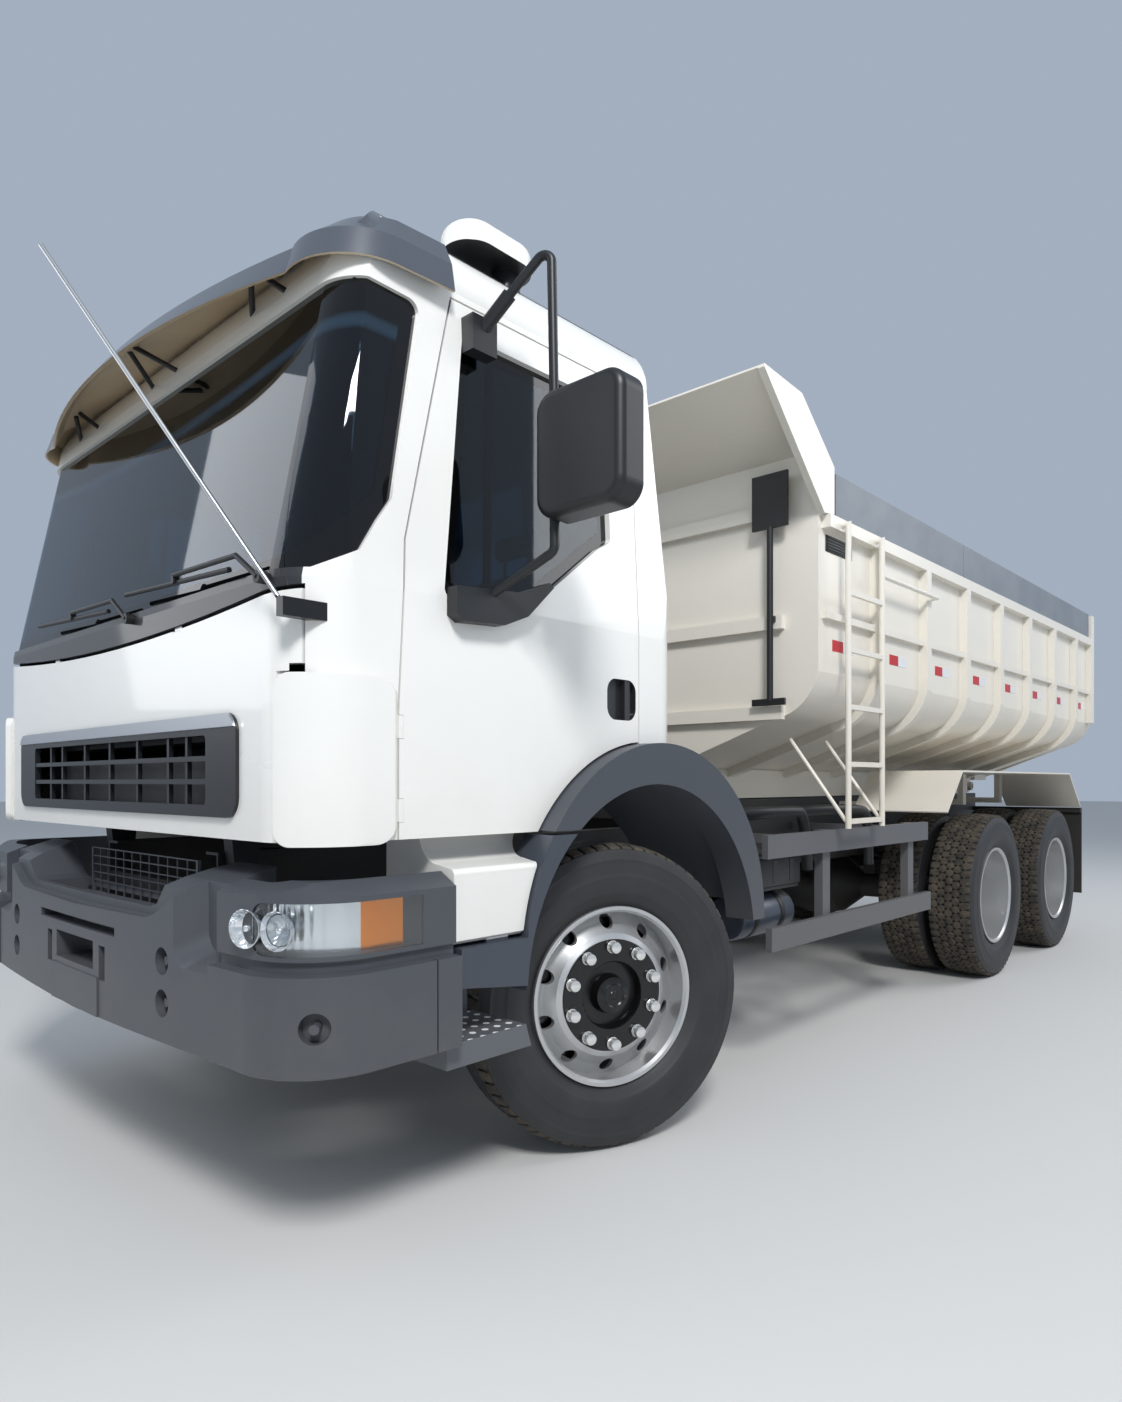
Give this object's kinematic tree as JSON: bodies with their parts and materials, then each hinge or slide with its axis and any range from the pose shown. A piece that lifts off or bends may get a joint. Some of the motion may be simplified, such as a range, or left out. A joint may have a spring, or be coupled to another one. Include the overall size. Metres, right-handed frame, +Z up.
{
  "type": "dump truck",
  "caption": "Three-axle dump truck with a tilting cab, opening doors and front lid, steered front wheels, twin rear wheels and a tipping body with a swinging tailgate.",
  "frame": {"origin": "on the ground under the middle of the whole truck", "axes": "+X to the truck's left, +Y to its rear, +Z up; the front faces -Y"},
  "size_m": [3.241, 7.5157, 2.8698],
  "materials": {
    "cab_white": "gloss",
    "body_white": "satin",
    "board_grey": "satin",
    "grey_plastic": "fine grain",
    "black_plastic": "fine grain",
    "smoke_plastic": "gloss",
    "glass": "tinted",
    "lamp_glass": "clear",
    "lamp_red": "gloss",
    "chassis_grey": "satin",
    "guard_grey": "satin",
    "rim_silver": "satin",
    "tyre": "matte",
    "rubber": "matte",
    "seat": "woven",
    "steel": "polished",
    "tank": "satin"
  },
  "bodies": {
    "chassis": {"frame": "chassis_grey", "subframe": "chassis_grey", "driveline": "chassis_grey", "springs": "chassis_grey", "front_axle": "chassis_grey", "drive_axles": "chassis_grey", "battery_box": "black_plastic", "fuel_tank": "tank", "exhaust": "chassis_grey", "side_guards": "guard_grey", "mudguards": "body_white", "mudflaps": "rubber", "bumper": "grey_plastic", "bumper_ends": "grey_plastic", "headlamps": "lamp_glass", "steps": "cab_white", "tail_bar": "chassis_grey", "tail_lamps": "lamp_red"},
    "cab": {"cab_body": "cab_white", "cab_roof": "cab_white", "cab_floor": "chassis_grey", "cab_glass": "glass", "dashboard": "black_plastic", "seats": "seat", "wheel_arches": "grey_plastic", "sun_visor": "smoke_plastic", "wipers": "black_plastic", "antenna": "steel", "kerb_mirror": "cab_white"},
    "door_left": {"door_left": "cab_white", "door_glass_left": "glass", "mirror_left": "black_plastic"},
    "door_right": {"door_right": "cab_white", "door_glass_right": "glass", "mirror_right": "black_plastic"},
    "front_lid": {"front_lid": "cab_white", "grille": "black_plastic"},
    "knuckle_left": {"knuckle_left": "chassis_grey"},
    "knuckle_right": {"knuckle_right": "chassis_grey"},
    "wheel_front_left": {"tyre_front_left": "tyre", "rim_front_left": "rim_silver"},
    "wheel_front_right": {"tyre_front_right": "tyre", "rim_front_right": "rim_silver"},
    "wheel_mid_left": {"tyres_mid_left": "tyre", "rims_mid_left": "rim_silver"},
    "wheel_mid_right": {"tyres_mid_right": "tyre", "rims_mid_right": "rim_silver"},
    "wheel_rear_left": {"tyres_rear_left": "tyre", "rims_rear_left": "rim_silver"},
    "wheel_rear_right": {"tyres_rear_right": "tyre", "rims_rear_right": "rim_silver"},
    "bed": {"bed_floor": "body_white", "bed_sides": "body_white", "headboard": "body_white", "side_boards": "board_grey", "ladder": "body_white", "shovel": "black_plastic"},
    "tailgate": {"tailgate": "body_white"},
    "hoist_barrel": {"hoist_barrel": "chassis_grey"},
    "hoist_rod": {"hoist_rod": "steel"}
  },
  "joints": [
    {"name": "cab_tilt", "type": "hinge", "parent": "chassis", "child": "cab", "pos_m": [0, -3.282, 0.78], "axis": [1, 0, 0], "range_deg": [0, 50]},
    {"name": "door_left_hinge", "type": "hinge", "parent": "cab", "child": "door_left", "pos_m": [1.147, -3.111, 1.365], "axis": [0, 0, -1], "range_deg": [0, 70]},
    {"name": "door_right_hinge", "type": "hinge", "parent": "cab", "child": "door_right", "pos_m": [-1.147, -3.111, 1.365], "axis": [0, 0, 1], "range_deg": [0, 70]},
    {"name": "front_lid_hinge", "type": "hinge", "parent": "cab", "child": "front_lid", "pos_m": [0, -3.402, 1.646], "axis": [-1, 0, 0], "range_deg": [0, 75]},
    {"name": "steer_left", "type": "hinge", "parent": "chassis", "child": "knuckle_left", "pos_m": [0.89, -2.132, 0.51], "axis": [0, 0, 1], "range_deg": [-15, 55]},
    {"name": "steer_right", "type": "hinge", "parent": "chassis", "child": "knuckle_right", "pos_m": [-0.89, -2.132, 0.51], "axis": [0, 0, 1], "range_deg": [-15, 55]},
    {"name": "roll_front_left", "type": "hinge", "parent": "knuckle_left", "child": "wheel_front_left", "pos_m": [1.01216, -2.17646, 0.51], "axis": [0.9397, -0.342, 0], "continuous": true},
    {"name": "roll_front_right", "type": "hinge", "parent": "knuckle_right", "child": "wheel_front_right", "pos_m": [-1.01216, -2.08754, 0.51], "axis": [0.9397, -0.342, 0], "continuous": true},
    {"name": "roll_mid_left", "type": "hinge", "parent": "chassis", "child": "wheel_mid_left", "pos_m": [0.92, 1.468, 0.51], "axis": [1, 0, 0], "continuous": true},
    {"name": "roll_mid_right", "type": "hinge", "parent": "chassis", "child": "wheel_mid_right", "pos_m": [-0.92, 1.468, 0.51], "axis": [1, 0, 0], "continuous": true},
    {"name": "roll_rear_left", "type": "hinge", "parent": "chassis", "child": "wheel_rear_left", "pos_m": [0.92, 2.838, 0.51], "axis": [1, 0, 0], "continuous": true},
    {"name": "roll_rear_right", "type": "hinge", "parent": "chassis", "child": "wheel_rear_right", "pos_m": [-0.92, 2.838, 0.51], "axis": [1, 0, 0], "continuous": true},
    {"name": "bed_tilt", "type": "hinge", "parent": "chassis", "child": "bed", "pos_m": [0, 3.318, 1.19], "axis": [-1, 0, 0], "range_deg": [0, 50]},
    {"name": "tailgate_hinge", "type": "hinge", "parent": "bed", "child": "tailgate", "pos_m": [0, 3.663, 2.5], "axis": [1, 0, 0], "range_deg": [0, 75]},
    {"name": "hoist_swing", "type": "hinge", "parent": "chassis", "child": "hoist_barrel", "pos_m": [0, 0.368, 0.9], "axis": [1, 0, 0], "range_deg": [-0.01, 23.23]},
    {"name": "hoist_slide", "type": "slide", "parent": "hoist_barrel", "child": "hoist_rod", "axis": [0, 0.9835, 0.1808], "range_m": [-0.0001, 0.8816]}
  ],
  "couplings": [
    {"joint": "steer_right", "follows": "steer_left", "ratio": 1},
    {"joint": "hoist_swing", "follows": "bed_tilt", "ratio": 0.46351},
    {"joint": "hoist_slide", "follows": "bed_tilt", "m_per_rad": 1.0091}
  ]
}
